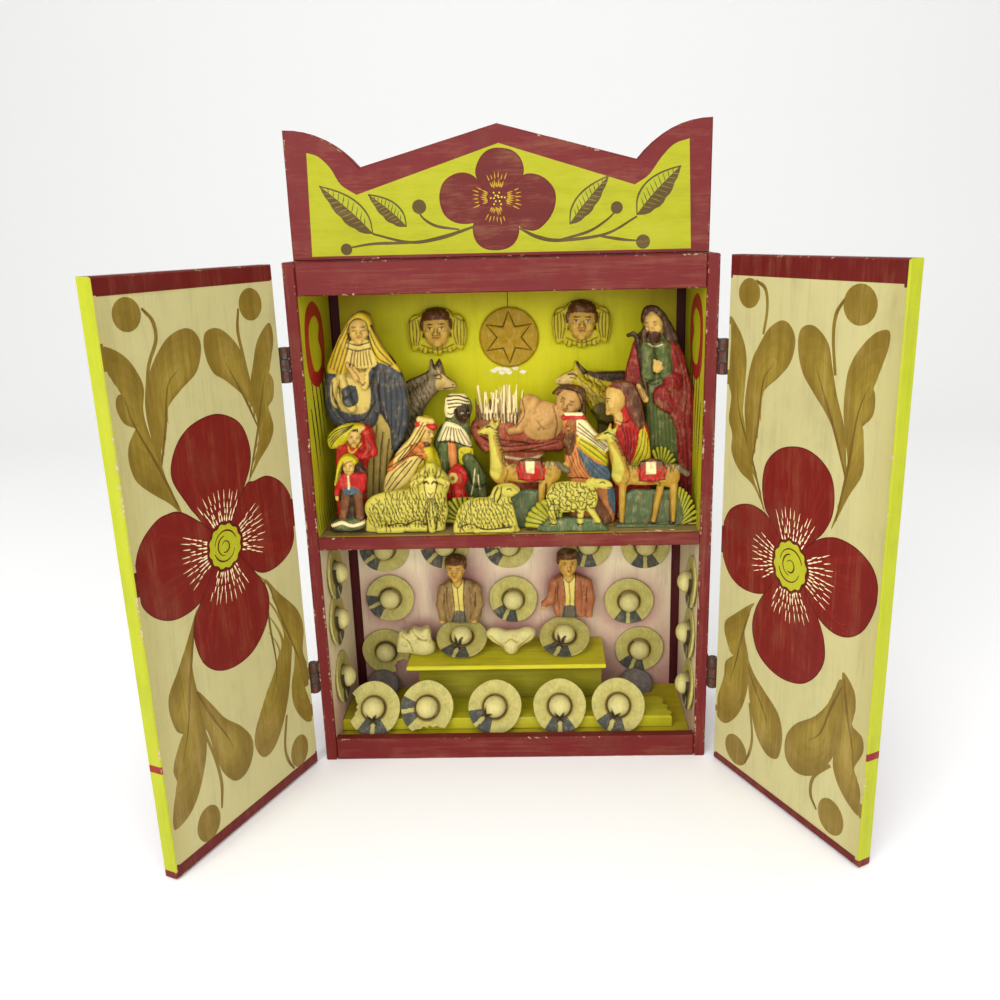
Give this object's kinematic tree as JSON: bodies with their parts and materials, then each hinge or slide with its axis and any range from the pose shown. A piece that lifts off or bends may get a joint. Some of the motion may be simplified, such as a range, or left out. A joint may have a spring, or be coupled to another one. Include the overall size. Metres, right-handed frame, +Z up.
{
  "type": "folding shrine box",
  "caption": "Painted wooden shrine box with a shaped crest, hinged painted doors, a nativity of moulded figures above and a hat shop below.",
  "frame": {"origin": "middle of the case's underside, on the plane that it stands on", "axes": "+Z up, +X to the viewer's right, +Y from the open front to the back board"},
  "size_m": [0.539, 0.2878, 0.5517],
  "materials": {
    "red_painted_wood": "dark red brushed paint, satin, worn through at the edges",
    "lime_painted_wood": "lime yellow brushed paint, satin",
    "ochre_painted_wood": "dark yellow brushed paint, satin",
    "cream_painted_wood": "cream paint with hand-painted flowers under aged varnish",
    "painted_paste": "moulded plaster and potato paste, hand-painted, thin varnish",
    "straw_coloured_paste": "moulded paste painted as straw, with dark bands",
    "rusty_steel": "small sheet-steel hinges, dull and rusted"
  },
  "bodies": {
    "case": {"side_board_left": "red_painted_wood", "side_board_right": "red_painted_wood", "header_rail": "red_painted_wood", "foot_rail": "red_painted_wood", "roof_board": "red_painted_wood", "middle_shelf": "red_painted_wood", "crest_board": "red_painted_wood", "floor_board": "ochre_painted_wood", "back_board": "lime_painted_wood", "yellow_step": "ochre_painted_wood", "counter": "ochre_painted_wood", "hinge_left_upper_case_leaf": "rusty_steel", "hinge_left_lower_case_leaf": "rusty_steel", "hinge_right_upper_case_leaf": "rusty_steel", "hinge_right_lower_case_leaf": "rusty_steel", "mary": "painted_paste", "joseph": "painted_paste", "manger_with_child": "painted_paste", "donkey": "painted_paste", "ox": "painted_paste", "king_left": "painted_paste", "king_middle": "painted_paste", "king_right": "painted_paste", "kneeling_woman": "painted_paste", "shepherd_with_bundle": "painted_paste", "herd_boy": "painted_paste", "child_in_red": "painted_paste", "ram": "painted_paste", "lying_sheep": "painted_paste", "standing_sheep_on_mound": "painted_paste", "middle_llama": "painted_paste", "right_llama": "painted_paste", "leaf_tuft": "painted_paste", "cherub_left": "painted_paste", "cherub_right": "painted_paste", "star_medallion": "painted_paste", "hat_seller_left": "painted_paste", "hat_seller_right": "painted_paste", "front_hat_1": "straw_coloured_paste", "front_hat_2": "straw_coloured_paste", "front_hat_3": "straw_coloured_paste", "front_hat_4": "straw_coloured_paste", "front_hat_5": "straw_coloured_paste", "counter_hat_1": "straw_coloured_paste", "counter_hat_2": "straw_coloured_paste", "counter_blank_left": "straw_coloured_paste", "counter_blank_middle": "straw_coloured_paste", "wall_hat_upper_1": "straw_coloured_paste", "wall_hat_upper_2": "straw_coloured_paste", "wall_hat_upper_3": "straw_coloured_paste", "wall_hat_lower_1": "straw_coloured_paste", "wall_hat_lower_2": "straw_coloured_paste"},
    "left_door": {"door_left": "cream_painted_wood", "hinge_left_upper_door_leaf": "rusty_steel", "hinge_left_lower_door_leaf": "rusty_steel"},
    "right_door": {"door_right": "cream_painted_wood", "hinge_right_upper_door_leaf": "rusty_steel", "hinge_right_lower_door_leaf": "rusty_steel"}
  },
  "joints": [
    {"name": "left_door_hinge", "type": "hinge", "parent": "case", "child": "left_door", "pos_m": [-0.1795, -0.062, 0], "axis": [0, 0, -1], "range_deg": [-113.6, 91.4]},
    {"name": "right_door_hinge", "type": "hinge", "parent": "case", "child": "right_door", "pos_m": [0.1795, -0.062, 0], "axis": [0, 0, 1], "range_deg": [-118, 87]}
  ]
}
